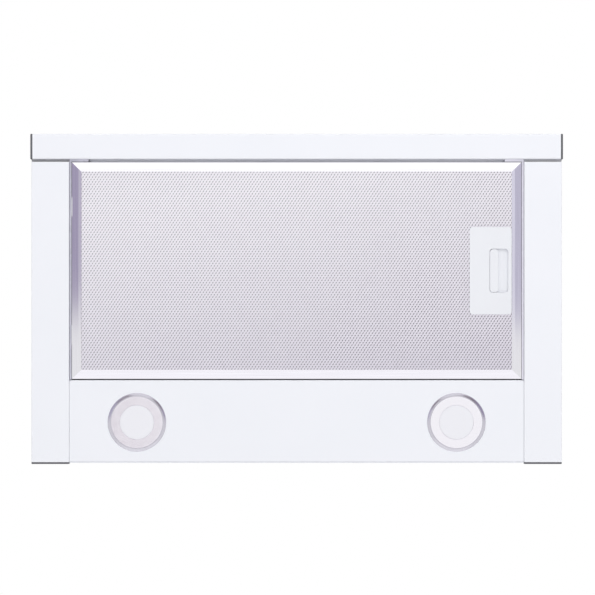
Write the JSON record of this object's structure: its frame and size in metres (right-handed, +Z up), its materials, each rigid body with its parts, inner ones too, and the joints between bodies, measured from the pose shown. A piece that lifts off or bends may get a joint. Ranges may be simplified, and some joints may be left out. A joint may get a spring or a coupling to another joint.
{
  "type": "telescopic cabinet range hood",
  "caption": "white slide-out cabinet hood seen from its underside: front bar, mitred mesh grease filter with side latch, lamp panel, ducted fan with non-return flaps",
  "frame": {"origin": "centre of the underside, on the plane of the front bar and the side strips", "axes": "+X to the right as seen from the front, -Y to the front where the bar slides out, +Z up to the duct"},
  "size_m": [0.5, 0.31, 0.222],
  "materials": {
    "white_paint": "satin white powder coat",
    "casing_paint": "white powder coat on the hidden casing",
    "zinc_steel": "zinc plated steel",
    "rolled_aluminium": "rolled aluminium profile",
    "expanded_aluminium": "expanded aluminium sheet",
    "filter_wool": "layered aluminium wool",
    "white_plastic": "white moulded plastic",
    "grey_plastic": "dark grey moulded plastic",
    "pad_rubber": "grey rubber pads",
    "black_plastic": "black moulded plastic",
    "satin_nickel": "satin nickel plated bezel",
    "frosted_lens": "frosted lens",
    "can_plastic": "light grey plastic",
    "motor_steel": "dark painted motor shell",
    "spring_steel": "blued spring steel",
    "button_plastic": "light grey button caps"
  },
  "bodies": {
    "hood": {"side_strip_left": "white_paint", "side_strip_right": "white_paint", "strip_cap_left": "grey_plastic", "strip_cap_right": "grey_plastic", "side_sheet_left": "casing_paint", "side_sheet_right": "casing_paint", "front_sheet": "casing_paint", "rear_sheet": "casing_paint", "top_panel": "casing_paint", "lamp_panel": "white_paint", "lamp_bezel_left": "satin_nickel", "lamp_bezel_right": "satin_nickel", "lamp_lens_left": "frosted_lens", "lamp_lens_right": "frosted_lens", "lamp_can_left": "can_plastic", "lamp_can_right": "can_plastic", "runner_outer_left": "zinc_steel", "runner_outer_right": "zinc_steel", "inner_filter_frame": "rolled_aluminium", "inner_filter_mesh": "expanded_aluminium", "fan_housing_left": "black_plastic", "fan_housing_right": "black_plastic", "motor": "motor_steel", "motor_bracket": "zinc_steel", "duct_collar": "black_plastic", "flap_pin": "zinc_steel", "terminal_box": "black_plastic", "capacitor": "can_plastic", "cable_gland": "black_plastic", "casing_screws": "zinc_steel", "collar_screws": "zinc_steel"},
    "visor": {"front_bar": "white_paint", "bar_pads": "pad_rubber", "bar_cap_left": "grey_plastic", "bar_cap_right": "grey_plastic", "visor_arm_left": "zinc_steel", "visor_arm_right": "zinc_steel", "visor_top_sheet": "casing_paint", "visor_rear_rail": "zinc_steel", "runner_inner_left": "zinc_steel", "runner_inner_right": "zinc_steel", "switch_block": "black_plastic", "arm_screws": "zinc_steel"},
    "filter": {"filter_frame": "rolled_aluminium", "filter_mesh": "expanded_aluminium", "filter_pack": "filter_wool", "latch_plate": "white_plastic", "latch_spring": "spring_steel"},
    "latch": {"latch_slider": "white_plastic"},
    "cage_left": {"roller_cage_left": "zinc_steel"},
    "cage_right": {"roller_cage_right": "zinc_steel"},
    "fan": {"impeller": "black_plastic", "motor_shaft": "zinc_steel"},
    "flap_front": {"flap_front": "black_plastic"},
    "flap_rear": {"flap_rear": "black_plastic"},
    "button_1": {"button_1": "button_plastic"},
    "button_2": {"button_2": "button_plastic"},
    "button_3": {"button_3": "button_plastic"},
    "button_4": {"button_4": "button_plastic"},
    "button_5": {"button_5": "button_plastic"}
  },
  "joints": [
    {"name": "visor_slide", "type": "slide", "parent": "hood", "child": "visor", "axis": [0, -1, 0], "range_m": [0, 0.16]},
    {"name": "cage_left_slide", "type": "slide", "parent": "hood", "child": "cage_left", "axis": [0, -1, 0], "range_m": [0, 0.08]},
    {"name": "cage_right_slide", "type": "slide", "parent": "hood", "child": "cage_right", "axis": [0, -1, 0], "range_m": [0, 0.08]},
    {"name": "filter_swing", "type": "hinge", "parent": "visor", "child": "filter", "pos_m": [-0.21225, -0.02655, 0.0017], "axis": [0, 1, 0], "range_deg": [0, 30]},
    {"name": "latch_slide", "type": "slide", "parent": "filter", "child": "latch", "axis": [1, 0, 0], "range_m": [0, 0.0045], "stiffness_N_per_m": 300, "springref_m": 0.0045},
    {"name": "fan_spin", "type": "hinge", "parent": "hood", "child": "fan", "pos_m": [0, 0.008, 0.1043], "axis": [1, 0, 0], "continuous": true},
    {"name": "flap_front_swing", "type": "hinge", "parent": "hood", "child": "flap_front", "pos_m": [0, 0.012, 0.191], "axis": [-1, 0, 0], "range_deg": [0, 80]},
    {"name": "flap_rear_swing", "type": "hinge", "parent": "hood", "child": "flap_rear", "pos_m": [0, 0.012, 0.191], "axis": [1, 0, 0], "range_deg": [0, 80]},
    {"name": "button_1_press", "type": "slide", "parent": "visor", "child": "button_1", "axis": [0, 1, 0], "range_m": [0, 0.003], "stiffness_N_per_m": 500},
    {"name": "button_2_press", "type": "slide", "parent": "visor", "child": "button_2", "axis": [0, 1, 0], "range_m": [0, 0.003], "stiffness_N_per_m": 500},
    {"name": "button_3_press", "type": "slide", "parent": "visor", "child": "button_3", "axis": [0, 1, 0], "range_m": [0, 0.003], "stiffness_N_per_m": 500},
    {"name": "button_4_press", "type": "slide", "parent": "visor", "child": "button_4", "axis": [0, 1, 0], "range_m": [0, 0.003], "stiffness_N_per_m": 500},
    {"name": "button_5_press", "type": "slide", "parent": "visor", "child": "button_5", "axis": [0, 1, 0], "range_m": [0, 0.003], "stiffness_N_per_m": 500}
  ],
  "couplings": [
    {"joint": "cage_left_slide", "follows": "visor_slide", "ratio": 0.5},
    {"joint": "cage_right_slide", "follows": "visor_slide", "ratio": 0.5}
  ]
}
